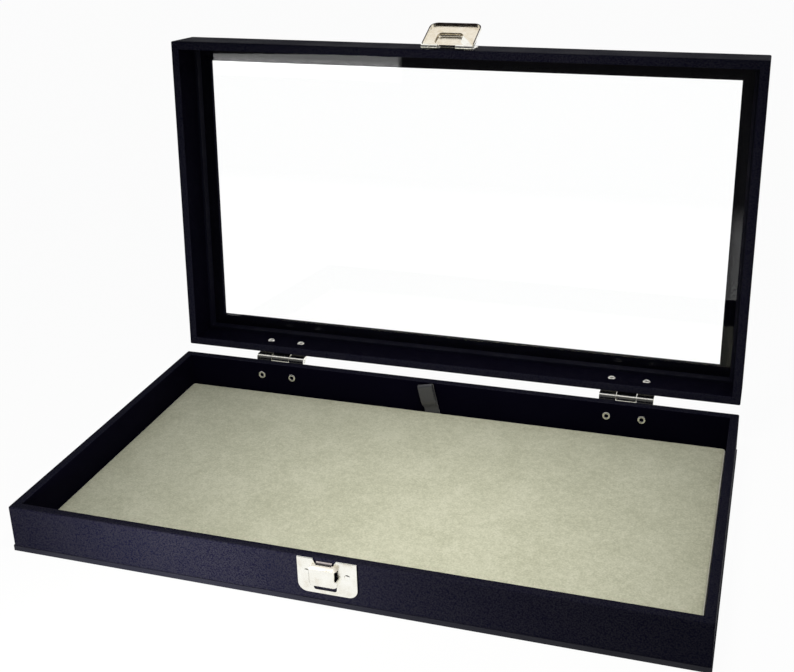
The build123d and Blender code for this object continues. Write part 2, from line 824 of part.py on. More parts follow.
with BuildPart() as hasp_flap:
    # outer sheet and its turned-down edges
    with BuildSketch(flap.offset(flange_end)) as outline:
        with Locations((0, (flap_flange_start + flap_length) / 2)):
            Rectangle(flap_width, flap_length - flap_flange_start)
        fillet(outline.vertices().group_by(Axis.Y)[-1], plate_corner)
    extrude(amount=flap_outer - flange_end)
    with BuildSketch(flap.offset(flange_end)) as outline:
        with Locations((0, (flap_length - flap_thickness) / 2)):
            Rectangle(flap_width - 2 * flap_thickness, flap_length - flap_thickness)
        fillet(outline.vertices().group_by(Axis.Y)[-1], plate_corner - flap_thickness)
    extrude(amount=flap_inner - flange_end, mode=Mode.SUBTRACT)
    # root of the sheet, clear of the plate's knuckles and notched in the middle
    root_start = hasp_knuckle_radius + hasp_knuckle_room
    with BuildSketch(flap.offset(flap_inner)):
        with Locations((0, (root_start + flap_flange_start) / 2)):
            Rectangle(flap_width, flap_flange_start - root_start)
        with Locations((0, flap_flange_start / 2)):
            Rectangle(2 * hasp_inner_end, flap_flange_start)
        with Locations((0, 0)):
            Rectangle(2 * hasp_notch_half, 2 * flap_notch_depth, mode=Mode.SUBTRACT)
    extrude(amount=flap_thickness)
    # knuckles
    for way in (-1, 1):
        with BuildSketch(flap_section.offset(way * (hasp_notch_half + hasp_inner_knuckle / 2))):
            Circle(hasp_knuckle_radius)
        extrude(amount=hasp_inner_knuckle / 2, both=True)
    with BuildSketch(flap_section):
        Circle(hasp_pin_radius + hasp_pin_clearance)
    extrude(amount=plate_width, both=True, mode=Mode.SUBTRACT)
    # pocket that snaps over the catch hood
    with BuildSketch(flap.offset(flap_inner)):
        with Locations((hood_side, pocket_middle)):
            RectangleRounded(
                pocket_width + 2 * pocket_wall,
                pocket_length + 2 * pocket_wall,
                pocket_corner + pocket_wall,
            )
    extrude(amount=pocket_ceiling + pocket_wall - flap_inner)
    dome_top = hasp_flap.faces().sort_by(Axis(flap.origin, flap.z_dir))[-1]
    fillet(dome_top.edges(), pocket_edge)
    with BuildSketch(flap.offset(flange_end)):
        with Locations((hood_side, pocket_middle)):
            RectangleRounded(pocket_width, pocket_length, pocket_corner)
    extrude(amount=pocket_ceiling - flange_end, mode=Mode.SUBTRACT)
    ceiling = hasp_flap.faces().filter_by_position(
        Axis(flap.origin, flap.z_dir), pocket_ceiling - pocket_find, pocket_ceiling + pocket_find
    )
    fillet(ceiling.edges(), pocket_edge - pocket_wall)
    # finger tab, curled outwards
    with BuildSketch(flap_section):
        with BuildLine():
            Polyline(
                (flap_inner, flap_length - flap_thickness),
                (flap_inner, flap_length),
                (flap_inner + tab_curl, flap_length + tab_length),
                (flap_outer + tab_curl, flap_length + tab_length - flap_thickness / 2),
                (flap_outer, flap_length - flap_thickness),
                close=True,
            )
        make_face()
    extrude(amount=tab_width / 2, both=True)
hasp_flap.part.label = "hasp_flap"
export_step(hasp_flap.part, "parts/hasp_flap.step")
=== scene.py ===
import json
from math import copysign, cos, hypot, pi, radians, sin, tau

import bmesh
import bpy
from mathutils import Matrix, Vector, noise


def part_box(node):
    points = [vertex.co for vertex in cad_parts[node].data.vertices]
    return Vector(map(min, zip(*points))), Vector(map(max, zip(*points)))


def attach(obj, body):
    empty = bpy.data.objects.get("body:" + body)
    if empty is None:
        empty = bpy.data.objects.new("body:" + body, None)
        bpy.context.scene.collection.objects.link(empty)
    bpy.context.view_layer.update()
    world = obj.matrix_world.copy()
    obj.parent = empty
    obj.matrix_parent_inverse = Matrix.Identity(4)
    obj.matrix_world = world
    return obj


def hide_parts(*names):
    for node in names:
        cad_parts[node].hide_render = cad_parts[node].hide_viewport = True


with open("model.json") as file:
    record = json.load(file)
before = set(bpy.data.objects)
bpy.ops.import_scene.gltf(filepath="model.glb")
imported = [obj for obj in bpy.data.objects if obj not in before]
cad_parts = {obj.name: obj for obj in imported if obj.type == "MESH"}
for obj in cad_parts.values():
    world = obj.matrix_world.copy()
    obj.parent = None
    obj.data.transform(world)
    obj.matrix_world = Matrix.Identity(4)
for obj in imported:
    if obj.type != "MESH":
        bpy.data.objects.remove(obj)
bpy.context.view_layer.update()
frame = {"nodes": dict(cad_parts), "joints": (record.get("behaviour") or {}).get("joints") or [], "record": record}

# A glass-topped display case, open: a leatherette-covered tray with a velvet pad, and a
# window lid on two riveted hinges, held shut by a folding clasp. Lengths in the functions
# that draw a piece are in millimetres; the finished meshes are in metres.

MM = 0.001
NODES = frame["nodes"]


def low(node):
    """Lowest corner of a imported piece, in millimetres."""
    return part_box(node)[0] / MM


def high(node):
    """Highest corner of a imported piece, in millimetres."""
    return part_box(node)[1] / MM


# ---- sizes that the pieces share ----
HALF_LENGTH = high("tray_wrap").x
HALF_DEPTH = high("tray_wrap").y
BOARD_TOP = low("tray_wrap").z
TRAY_RIM = high("tray_wrap").z
WALL = 5.2
SKIN = 0.4
LID_RIM = 27.8
LID_HEIGHT = 29.35
STRIP_UNDERSIDE = 26.75
WINDOW_BORDER = 15.0
OUTER_ROUND = 0.8
INNER_ROUND = 0.5
CORNER_ROUND = 0.9
CORNER_STEPS = 4


# ---- node trees ----


class Number:
    """A node's output; as a number it can stand in a Python expression."""

    def __init__(self, tree, node, output=0):
        self.tree = tree
        self.node = node
        self.socket = node.outputs[output] if node.outputs else None

    def of(self, output):
        """Another output of the same node."""
        return Number(self.tree, self.node, output)

    def __add__(self, other):
        return self.tree.math("ADD", self, other)

    def __sub__(self, other):
        return self.tree.math("SUBTRACT", self, other)

    def __rsub__(self, other):
        return self.tree.math("SUBTRACT", other, self)

    def __mul__(self, other):
        return self.tree.math("MULTIPLY", self, other)

    def __truediv__(self, other):
        return self.tree.math("DIVIDE", self, other)

    def __mod__(self, other):
        return self.tree.math("MODULO", self, other)

    def __neg__(self):
        return self.tree.math("MULTIPLY", self, -1.0)


class Tree:
    """A node tree, and the one way that nodes are added to it."""

    def __init__(self, nodes):
        self.nodes = nodes.nodes
        self.links = nodes.links

    def add(self, kind, settings=None, sockets=None, output=0):
        """Adds a node: its settings first, then the values or links of its sockets."""
        node = self.nodes.new(kind)
        for key, value in (settings or {}).items():
            if key == "stops":
                self.set_stops(node.color_ramp, value)
            elif key == "choices":
                for _ in range(value - len(node.index_switch_items)):
                    node.index_switch_items.new()
            else:
                setattr(node, key, value)
        for key, value in (sockets or {}).items():
            if isinstance(value, Number):
                self.links.new(value.socket, node.inputs[key])
            else:
                node.inputs[key].default_value = value
        return Number(self, node, output)

    def math(self, operation, *values):
        """One step of arithmetic on numbers or nodes' outputs."""
        return self.add("ShaderNodeMath", {"operation": operation}, dict(enumerate(values)))

    def set_stops(self, ramp, stops):
        while len(ramp.elements) < len(stops):
            ramp.elements.new(1.0)
        for element, (position, colour) in zip(ramp.elements, stops):
            element.position = position
            element.color = (*colour, 1.0)

    def spread(self, value, start, end, out_start=0.0, out_end=1.0):
        """A value read between two ends, and kept inside them."""
        return self.add(
            "ShaderNodeMapRange",
            {"clamp": True, "interpolation_type": "SMOOTHSTEP"},
            {
                "Value": value,
                "From Min": start,
                "From Max": end,
                "To Min": out_start,
                "To Max": out_end,
            },
        )


class Finish(Tree):
    """A procedural material for one kind of surface."""

    def __init__(self, name):
        self.material = bpy.data.materials.new(name)
        self.material.use_nodes = True
        super().__init__(self.material.node_tree)
        self.nodes.clear()
        self.place = self.add("ShaderNodeTexCoord").of("Object")

    def noise(self, size, detail=2.0, roughness=0.5, place=None):
        """Cloudy noise whose blotches are about size millimetres across."""
        return self.add(
            "ShaderNodeTexNoise",
            None,
            {
                "Vector": place or self.place,
                "Scale": 1.0 / (size * MM),
                "Detail": detail,
                "Roughness": roughness,
            },
        )

    def cells(self, size, feature="F1"):
        """Distance across cells that are about size millimetres wide."""
        return self.add(
            "ShaderNodeTexVoronoi",
            {"feature": feature},
            {"Vector": self.place, "Scale": 1.0 / (size * MM)},
        ).of("Distance")

    def stretched(self, x, y, z):
        """The object's coordinates, scaled along each axis."""
        return self.add("ShaderNodeMapping", None, {"Vector": self.place, "Scale": (x, y, z)})

    def ramp(self, factor, *stops):
        """Colours along a factor from 0 to 1."""
        return self.add("ShaderNodeValToRGB", {"stops": stops}, {"Fac": factor})

    def blend(self, factor, first, second):
        """Two colours, mixed by a factor."""
        return self.add(
            "ShaderNodeMix",
            {"data_type": "RGBA", "clamp_factor": True},
            {0: factor, 6: first, 7: second},
            output=2,
        )

    def bump(self, height, depth, strength):
        """Normals of a relief that is depth millimetres high."""
        sockets = {"Height": height, "Distance": depth * MM, "Strength": strength}
        return self.add("ShaderNodeBump", None, sockets)

    def surface(self, **sockets):
        """The main shader; words of a socket's name are joined by an underscore."""
        named = {key.replace("_", " "): value for key, value in sockets.items()}
        return self.add("ShaderNodeBsdfPrincipled", None, named)

    def done(self, shader):
        self.add("ShaderNodeOutputMaterial", None, {"Surface": shader})
        return self.material


def rgb(red, green, blue):
    return (red, green, blue, 1.0)


# ---- finishes ----


def leatherette():
    """Black leatherette with a blue cast: a fine pebbled grain, greyer where it is rubbed."""
    finish = Finish("black_leatherette")
    pebbles = finish.cells(0.75, "SMOOTH_F1")
    creases = finish.noise(0.35, detail=3.0, roughness=0.6)
    clouds = finish.noise(26.0, detail=3.0, roughness=0.55)
    grain = pebbles * 0.75 + creases * 0.45
    tone = finish.spread(grain, 0.3, 0.8)
    dark = finish.blend(clouds, rgb(0.0031, 0.0031, 0.012), rgb(0.0058, 0.0058, 0.015))
    light = finish.blend(clouds, rgb(0.0125, 0.0122, 0.0215), rgb(0.0205, 0.020, 0.0275))
    colour = finish.blend(tone, light, dark)
    rough = finish.spread(clouds, 0.3, 0.7, 0.56, 0.46)
    relief = finish.bump(grain, 0.09, 0.45)
    return finish.done(
        finish.surface(
            Base_Color=colour, Roughness=rough, Normal=relief, Specular_IOR_Level=0.003
        )
    )


def shaded_lining_paper():
    """Matt black paper on the inner faces of the walls, far darker than the outer covering: painted shade of the
    walls' insides.
    """
    finish = Finish("black_lining_painted_shade")
    fibres = finish.noise(0.9, detail=4.0, roughness=0.65)
    clouds = finish.noise(35.0, detail=2.0)
    colour = finish.blend(clouds, rgb(0.0009, 0.0007, 0.0038), rgb(0.0022, 0.0018, 0.0065))
    rough = finish.spread(fibres, 0.3, 0.7, 0.9, 0.75)
    relief = finish.bump(fibres, 0.03, 0.4)
    return finish.done(
        finish.surface(
            Base_Color=colour, Roughness=rough, Normal=relief, Specular_IOR_Level=0.03
        )
    )


def board_paper():
    """Black grained paper on the fibreboard of the bottom."""
    finish = Finish("black_board_paper")
    pebbles = finish.cells(1.1, "SMOOTH_F1")
    clouds = finish.noise(30.0, detail=3.0)
    colour = finish.blend(clouds, rgb(0.007, 0.007, 0.015), rgb(0.013, 0.013, 0.02))
    rough = finish.spread(clouds, 0.3, 0.7, 0.7, 0.58)
    relief = finish.bump(pebbles, 0.06, 0.5)
    return finish.done(
        finish.surface(
            Base_Color=colour, Roughness=rough, Normal=relief, Specular_IOR_Level=0.25
        )
    )


def window_paper():
    """Black paper on the window frame's strips, seen through the glass."""
    finish = Finish("black_window_paper")
    fibres = finish.noise(1.4, detail=3.0, roughness=0.6)
    colour = finish.blend(fibres, rgb(0.0012, 0.0012, 0.0035), rgb(0.003, 0.003, 0.006))
    relief = finish.bump(fibres, 0.03, 0.4)
    return finish.done(
        finish.surface(
            Base_Color=colour, Roughness=0.75, Normal=relief, Specular_IOR_Level=0.05
        )
    )


def bead_paint():
    """Black paint, a little glossy, over the wood of the glazing beads."""
    finish = Finish("black_bead_paint")
    brushed = finish.noise(1.6, detail=3.0, place=finish.stretched(0.12, 1.0, 1.0))
    clouds = finish.noise(14.0, detail=2.0)
    colour = finish.blend(clouds, rgb(0.002, 0.002, 0.006), rgb(0.006, 0.006, 0.012))
    rough = finish.spread(clouds, 0.3, 0.7, 0.46, 0.34)
    relief = finish.bump(brushed, 0.04, 0.5)
    return finish.done(
        finish.surface(
            Base_Color=colour, Roughness=rough, Normal=relief, Specular_IOR_Level=0.08
        )
    )


def window_glass():
    """Clear float glass that lets the lamps and the room light what lies under it."""
    finish = Finish("clear_glass")
    smears = finish.noise(60.0, detail=2.0)
    rough = finish.spread(smears, 0.35, 0.75, 0.0, 0.0015)
    pane = finish.surface(
        Base_Color=rgb(0.995, 1.0, 0.998), Roughness=rough, IOR=1.45, Transmission_Weight=1.0
    )
    clear = finish.add("ShaderNodeBsdfTransparent", None, {"Color": rgb(0.96, 0.97, 0.965)})
    path = finish.add("ShaderNodeLightPath")
    for light in ("Is Diffuse Ray", "Is Shadow Ray"):
        pane = finish.add("ShaderNodeMixShader", None, {0: path.of(light), 1: pane, 2: clear})
    return finish.done(pane)


def velvet_nap():
    """Short olive-grey velvet whose nap lies in soft, uneven patches."""
    finish = Finish("olive_grey_velvet")
    patches = finish.noise(22.0, detail=3.0, roughness=0.5)
    strokes = finish.noise(3.4, detail=3.0, roughness=0.6)
    pile = finish.noise(1.1, detail=3.0, roughness=0.7)
    lie = patches * 0.2 + strokes * 0.28 + pile * 0.52
    colour = finish.ramp(
        lie,
        (0.4, (0.46, 0.462, 0.36)),
        (0.5, (0.55, 0.55, 0.44)),
        (0.6, (0.64, 0.635, 0.525)),
    )
    relief = finish.bump(pile * 0.7 + strokes * 0.3, 0.12, 0.45)
    return finish.done(
        finish.surface(
            Base_Color=colour,
            Roughness=0.95,
            Normal=relief,
            Specular_IOR_Level=0.1,
            Sheen_Weight=0.12,
            Sheen_Roughness=0.45,
        )
    )


RIB_SPACING = 0.35


def ribbon_satin():
    """Black satin: fine ribs across the ribbon and a soft grey sheen along it."""
    finish = Finish("black_satin")
    along = finish.add("ShaderNodeUVMap", {"uv_map": "along"})
    ends = finish.add("ShaderNodeSeparateXYZ", None, {"Vector": along})
    ribs = finish.math("SINE", ends.of("Y") * (tau / RIB_SPACING))
    threads = finish.noise(0.5, detail=2.0)
    colour = finish.blend(threads, rgb(0.02, 0.02, 0.026), rgb(0.06, 0.06, 0.07))
    relief = finish.bump(ribs, 0.02, 0.35)
    return finish.done(
        finish.surface(
            Base_Color=colour,
            Roughness=0.34,
            Normal=relief,
            Specular_IOR_Level=0.7,
            Sheen_Weight=0.3,
            Sheen_Roughness=0.3,
        )
    )


def nickel(name, worn, clean, bright, rough_worn=0.3, rough_clean=0.17, metal=1.0):
    """Nickel plate in three tones, with faint stamping marks and a little tarnish."""
    finish = Finish(name)
    marks = finish.noise(0.7, detail=3.0, place=finish.stretched(0.15, 1.0, 1.0))
    clouds = finish.noise(7.0, detail=3.0, roughness=0.6)
    colour = finish.ramp(clouds, (0.28, worn), (0.45, clean), (0.7, bright))
    rough = finish.spread(clouds * 0.6 + marks * 0.4, 0.3, 0.7, rough_worn, rough_clean)
    relief = finish.bump(marks, 0.012, 0.35)
    return finish.done(
        finish.surface(Base_Color=colour, Roughness=rough, Normal=relief, Metallic=metal)
    )


def sawn_wood():
    """Plain sawn wood of the rails, under the covering."""
    finish = Finish("sawn_wood")
    rings = finish.noise(2.2, detail=4.0, place=finish.stretched(0.08, 0.6, 1.0))
    colour = finish.ramp(rings, (0.3, (0.42, 0.29, 0.17)), (0.7, (0.62, 0.47, 0.31)))
    relief = finish.bump(rings, 0.06, 0.5)
    return finish.done(finish.surface(Base_Color=colour, Roughness=0.8, Normal=relief))


def hardboard():
    """Grey-brown hardboard under the pad."""
    finish = Finish("pad_hardboard")
    fibres = finish.noise(0.9, detail=4.0, roughness=0.65)
    colour = finish.ramp(fibres, (0.3, (0.36, 0.29, 0.21)), (0.7, (0.55, 0.46, 0.35)))
    relief = finish.bump(fibres, 0.05, 0.5)
    return finish.done(finish.surface(Base_Color=colour, Roughness=0.85, Normal=relief))


def foam():
    """Open white foam of the pad's core."""
    finish = Finish("white_foam")
    pores = finish.cells(0.8)
    colour = finish.ramp(pores, (0.1, (0.6, 0.58, 0.5)), (0.5, (0.86, 0.85, 0.79)))
    relief = finish.bump(pores, 0.2, 0.6)
    return finish.done(finish.surface(Base_Color=colour, Roughness=0.95, Normal=relief))


LEATHERETTE = leatherette()
SHADED_LINING = shaded_lining_paper()
NICKEL = nickel("bright_nickel", (0.82, 0.78, 0.68), (0.93, 0.915, 0.84), (0.98, 0.975, 0.92))
# A dull pinkish copy of the nickel: painted shade on the clasp's lip down in its notch.
LIP_SHADE_NICKEL = nickel("nickel_painted_lip_shade", (0.50, 0.43, 0.42), (0.64, 0.57, 0.55), (0.78, 0.71, 0.68))
# A cream copy: painted reflection of the velvet pad in the flap's pocket.
PAD_REFLECTION_NICKEL = nickel("nickel_painted_pad_reflection", (0.72, 0.62, 0.46), (0.84, 0.76, 0.62), (0.9, 0.84, 0.72))
# A dimmer, pinker satin copy: painted shade on the hood's upward faces.
TOP_SHADE_NICKEL = nickel(
    "satin_nickel_painted_shade", (0.84, 0.76, 0.68), (0.9, 0.85, 0.78), (0.95, 0.91, 0.85), 0.6, 0.45, 0.45
)
# A near-black copy: painted shade inside the hood, and painted shade and dark reflection on the flap's turned
# edges and tab.
SHADOW_NICKEL = nickel(
    "nickel_painted_shadow", (0.035, 0.025, 0.025), (0.07, 0.052, 0.05), (0.12, 0.1, 0.1), 0.6, 0.45
)
NODE_FINISHES = {
    "rail_wood": sawn_wood(),
    "leatherette": LEATHERETTE,
    "bottom_board": board_paper(),
    "window_board": window_paper(),
    "bead_wood": bead_paint(),
    "window_glass": window_glass(),
    "pad_board": hardboard(),
    "pad_foam": foam(),
    "pad_velvet": velvet_nap(),
    "ribbon_satin": ribbon_satin(),
    "nickel_plate": NICKEL,
}


def finish_nodes():
    """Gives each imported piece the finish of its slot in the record."""
    for row in frame["record"]["subparts"]:
        node = NODES[row["node"]]
        if not node.material_slots:
            node.data.materials.append(None)
        for holder in node.material_slots:
            holder.material = NODE_FINISHES[row["material_slot"]]


finish_nodes()


# ---- making a piece ----


def joint_row(name):
    """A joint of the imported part."""
    return next(row for row in frame["joints"] if row["name"] == name)


def open_lid():
    """Matrix that takes a point of the shut lid, in metres, to where the open lid has it."""
    joint = joint_row("lid_hinge")
    pin = Vector(joint["pos_m"])
    swing = Matrix.Rotation(-radians(joint["range_deg"][1]), 4, "X")
    return Matrix.Translation(pin) @ swing @ Matrix.Translation(-pin)


OPEN_LID = open_lid()


def smooth(mesh, angle=35.0):
    """Smooth shading, with an edge kept where faces turn by more than the angle."""
    mesh.polygons.foreach_set("use_smooth", [True] * len(mesh.polygons))
    mesh.set_sharp_from_angle(angle=radians(angle))


def new_piece(name, mesh, body, replaced):
    """A finished piece: its object at the origin, riding on its body."""
    piece = bpy.data.objects.new(name, mesh)
    bpy.context.scene.collection.objects.link(piece)
    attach(piece, body)
    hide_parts(*replaced)
    return piece


WELD = 0.004 * MM


def closed_mesh(name, points, faces, finishes, face_finishes=None, place=None):
    """A closed mesh from points in millimetres: doubles merged, faces turned outwards."""
    mesh = bpy.data.meshes.new(name)
    mesh.from_pydata([Vector(p) * MM for p in points], [], faces)
    for finish in finishes:
        mesh.materials.append(finish)
    if face_finishes:
        mesh.polygons.foreach_set("material_index", face_finishes)
    work = bmesh.new()
    work.from_mesh(mesh)
    bmesh.ops.remove_doubles(work, verts=work.verts, dist=WELD)
    bmesh.ops.dissolve_degenerate(work, dist=WELD, edges=work.edges)
    bmesh.ops.recalc_face_normals(work, faces=work.faces)
    work.to_mesh(mesh)
    work.free()
    if place is not None:
        mesh.transform(place)
    smooth(mesh)
    return mesh


# ---- coverings: a leatherette skin swept round four walls ----


def bend(inset, height, radius, start, end, steps=4):
    """Points of a rounded edge in a section, from one angle to another in degrees."""
    return [
        (
            inset + radius * cos(radians(start + (end - start) * step / steps)),
            height + radius * sin(radians(start + (end - start) * step / steps)),
        )
        for step in range(steps + 1)
    ]


def walls_path(inset):
    """Points round the four walls at one inset, and whether each is at a corner."""
    round_off = max(CORNER_ROUND - inset, 0.0)
    from_centre = max(CORNER_ROUND, inset)
    x = HALF_LENGTH - from_centre
    y = HALF_DEPTH - from_centre
    corners = ((x, -y, -90), (x, y, 0), (-x, y, 90), (-x, -y, 180))
    path = []
    for side, (corner_x, corner_y, start) in enumerate(corners):
        for step in range(CORNER_STEPS + 1):
            angle = radians(start + 90.0 * step / CORNER_STEPS)
            x = corner_x + round_off * cos(angle)
            y = corner_y + round_off * sin(angle)
            path.append((x, y, True))
        next_x, next_y, next_start = corners[(side + 1) % 4]
        first = Vector(path[-1][:2])
        angle = radians(next_start)
        last = Vector((next_x + round_off * cos(angle), next_y + round_off * sin(angle)))
        run = (last - first).length
        for share, offset in WALL_STATIONS:
            here = first.lerp(last, share + offset / run)
            path.append((here.x, here.y, False))
    return path


# Stations along a wall, as a share of its length and millimetres past it: close to the
# corners for the fold's crease, and even between them.
EVEN_STATIONS = 34
SLACK = 0.05  # how far the skin hangs off the flat walls, and the size of its waves
SLACK_SIZE = 16.0
LID_RUN = 27.0
RIM_FOLD = 0.16  # dip of the mitred fold at a rim's corner
BORDER_FOLD = 0.12
LEVEL = 0.05  # nearer than this to a level face counts as on it
WALL_STATIONS = (
    [(0.0, 0.35), (0.0, 1.2), (0.0, 3.5)]
    + [(step / EVEN_STATIONS, 0.0) for step in range(1, EVEN_STATIONS)]
    + [(1.0, -3.5), (1.0, -1.2), (1.0, -0.35)]
)


def covering(name, section, base, sink, place):
    """The skin: a closed section of (inset, height, finish), with creased corner folds."""
    loops = []
    for inset, height, _ in section:
        loop = []
        for x, y, at_corner in walls_path(inset):
            slack = 0.0
            if inset < OUTER_ROUND:
                slack = SLACK * (1.0 + noise.noise(Vector((x, y, height)) / SLACK_SIZE))
            crease = sink(inset, height) if at_corner else 0.0
            if abs(x / HALF_LENGTH) > abs(y / HALF_DEPTH):
                x -= copysign(slack, x)
            else:
                y -= copysign(slack, y)
            loop.append((x, y, base + height + crease))
        loops.append(loop)
    count = len(loops[0])
    points = [point for loop in loops for point in loop]
    faces = []
    finishes = []
    for row in range(len(loops)):
        next_row = (row + 1) % len(loops)
        for column in range(count):
            beside = (column + 1) % count
            faces.append(
                (
                    row * count + column,
                    row * count + beside,
                    next_row * count + beside,
                    next_row * count + column,
                )
            )
            finishes.append(section[row][2])
    return closed_mesh(name, points, faces, (LEATHERETTE, SHADED_LINING), finishes, place)


def tray_section():
    """Up the outside, over the rim and down the inside, and back under the skin."""
    top = TRAY_RIM - BOARD_TOP
    outside = [(0.0, share * (top - OUTER_ROUND)) for share in (0.0, 0.15, 0.35, 0.55, 0.8)]
    outside += bend(OUTER_ROUND, top - OUTER_ROUND, OUTER_ROUND, 180, 90)
    outside += bend(WALL - INNER_ROUND, top - INNER_ROUND, INNER_ROUND, 90, 0, 3)
    inside = [(WALL, top * 0.5), (WALL, 0.0)]
    hidden = [
        (WALL - SKIN, 0.0),
        (WALL - SKIN, top - SKIN),
        (SKIN + 0.1, top - SKIN),
        (SKIN + 0.1, 0.0),
    ]
    section = [(inset, height, 0) for inset, height in outside[:-1]]
    # The inner faces take the lining, whose darker black is painted shade.
    section += [(inset, height, 1) for inset, height in outside[-1:] + inside]
    section += [(inset, height, 0) for inset, height in hidden]
    return section


def lid_section():
    """Up the outside, over the border to the window, back, and round the rim."""
    across = WINDOW_BORDER - INNER_ROUND
    outside = [(0.0, OUTER_ROUND + share * LID_RUN) for share in (0.0, 0.2, 0.45, 0.7, 0.9)]
    outside += bend(OUTER_ROUND, LID_HEIGHT - OUTER_ROUND, OUTER_ROUND, 180, 90)
    outside += [(5.0, LID_HEIGHT), (10.0, LID_HEIGHT)]
    outside += bend(across, LID_HEIGHT - INNER_ROUND, INNER_ROUND, 90, 0, 3)
    outside += [
        (WINDOW_BORDER, STRIP_UNDERSIDE),
        (WINDOW_BORDER - SKIN, STRIP_UNDERSIDE),
        (WINDOW_BORDER - SKIN, LID_HEIGHT - SKIN),
        (SKIN + 0.1, LID_HEIGHT - SKIN),
        (SKIN + 0.1, SKIN),
        (WALL - SKIN, SKIN),
    ]
    lined_in_shade = [
        (WALL - SKIN, STRIP_UNDERSIDE),
        (WALL, STRIP_UNDERSIDE),
        (WALL, STRIP_UNDERSIDE * 0.5),
    ]
    rim = bend(WALL - INNER_ROUND, INNER_ROUND, INNER_ROUND, 0, -90, 3)
    rim += bend(OUTER_ROUND, OUTER_ROUND, OUTER_ROUND, -90, -180)[:-1]
    section = [(inset, height, 0) for inset, height in outside]
    # The walls' inner faces take the lining, whose darker black is painted shade.
    section += [(inset, height, 1) for inset, height in lined_in_shade]
    section += [(inset, height, 0) for inset, height in rim]
    return section


def tray_fold(inset, height):
    """How far the mitred fold dips at a corner of the tray's rim."""
    on_rim = height > TRAY_RIM - BOARD_TOP - LEVEL and inset > INNER_ROUND
    return -RIM_FOLD if on_rim else 0.0


def lid_fold(inset, height):
    """How far the mitred folds dip at a corner of the lid's rim and border."""
    if height < LEVEL and INNER_ROUND < inset < WALL:
        return RIM_FOLD
    if height > LID_HEIGHT - LEVEL and inset > INNER_ROUND:
        return -BORDER_FOLD
    return 0.0


def make_coverings():
    tray = covering("tray_covering", tray_section(), BOARD_TOP, tray_fold, None)
    new_piece("tray_covering", tray, "tray", ["tray_wrap"])
    lid = covering("lid_covering", lid_section(), LID_RIM, lid_fold, OPEN_LID)
    new_piece("lid_covering", lid, "lid", ["lid_wrap"])


make_coverings()


# ---- velvet pad ----

PAD_CORNER = 3.0
PAD_ROLL = 2.2
PAD_CROWN = 0.5
CROWN_SHARE = 0.6  # of the crown that the mesh has before the cloth rises
PAD_STEP = 4.2
EDGE_BAND = 11.0
EDGE_STATIONS = (0.0, 0.35, 0.8, 1.3, 1.8, 2.4, 3.4, 5.0, 7.5)
UNDERSIDE_LIFT = 0.06
CLOTH_START = 0.12  # the cloth starts this far below its place
GLUED_HEIGHT = 1.6
LOOSE_HEIGHT = 2.0
MOST_RISE = 0.35
CLOTH_FRAMES = 15


def pad_stations(half):
    """Places along half of the pad, close together over the rolled edge."""
    inner = half - EDGE_BAND
    steps = round(inner / PAD_STEP)
    return [half - inset for inset in EDGE_STATIONS] + [
        inner * (steps - step) / steps for step in range(steps + 1)
    ]


def pad_grid():
    """Points of the pad's top, as rows of (x, y, distance from the edge)."""
    half_x = (high("pad_velvet").x - low("pad_velvet").x) / 2
    half_y = (high("pad_velvet").y - low("pad_velvet").y) / 2
    xs = pad_stations(half_x)
    ys = pad_stations(half_y)
    xs = [-x for x in xs[:-1]] + xs[::-1]
    ys = [-y for y in ys[:-1]] + ys[::-1]
    rows = []
    for x in xs:
        row = []
        for y in ys:
            over_x = abs(x) - (half_x - PAD_CORNER)
            over_y = abs(y) - (half_y - PAD_CORNER)
            here = Vector((x, y))
            if over_x > 0.0 and over_y > 0.0:
                square = max(over_x, over_y)
                scale = square / hypot(over_x, over_y)
                centre = Vector((x - over_x * x / abs(x), y - over_y * y / abs(y)))
                here = centre + (here - centre) * scale
                edge = PAD_CORNER - square
            else:
                edge = min(half_x - abs(x), half_y - abs(y))
            row.append((here.x, here.y, max(edge, 0.0)))
        rows.append(row)
    return rows


def pad_height(edge, deepest):
    """Height of the velvet at a distance from the edge: a rolled edge, then the crown."""
    if edge < PAD_ROLL:
        over = 1.0 - edge / PAD_ROLL
        return -PAD_ROLL * (1.0 - (1.0 - over**2) ** 0.5)
    return PAD_CROWN * (1.0 - (1.0 - edge / deepest) ** 2) * CROWN_SHARE


def velvet_form():
    """The pad's closed form, a little low, so that the cloth can rise to its place."""
    rows = pad_grid()
    middle = (high("pad_velvet") + low("pad_velvet")) / 2
    bottom = low("pad_velvet").z + UNDERSIDE_LIFT
    edge_top = high("pad_velvet").z - PAD_CROWN
    deepest = (high("pad_velvet").y - low("pad_velvet").y) / 2
    points = []
    for row in rows:
        for x, y, edge in row:
            z = edge_top - CLOTH_START + pad_height(edge, deepest)
            points.append((middle.x + x, middle.y + y, z))
    wide = len(rows[0])
    tops = len(points)
    points += [(x, y, bottom) for x, y, _ in points]
    faces = []
    for i in range(len(rows) - 1):
        for j in range(wide - 1):
            face = (i * wide + j, (i + 1) * wide + j, (i + 1) * wide + j + 1, i * wide + j + 1)
            faces.append(face)
            faces.append(tuple(tops + k for k in reversed(face)))
    rim = [i * wide for i in range(len(rows))]
    rim += [(len(rows) - 1) * wide + j for j in range(1, wide)]
    rim += [i * wide + wide - 1 for i in range(len(rows) - 2, -1, -1)]
    rim += range(wide - 2, 0, -1)
    for here, after in zip(rim, rim[1:] + rim[:1]):
        faces.append((here, after, tops + after, tops + here))
    mesh = closed_mesh("velvet_pad", points, faces, [NODE_FINISHES["pad_velvet"]])
    return mesh, bottom


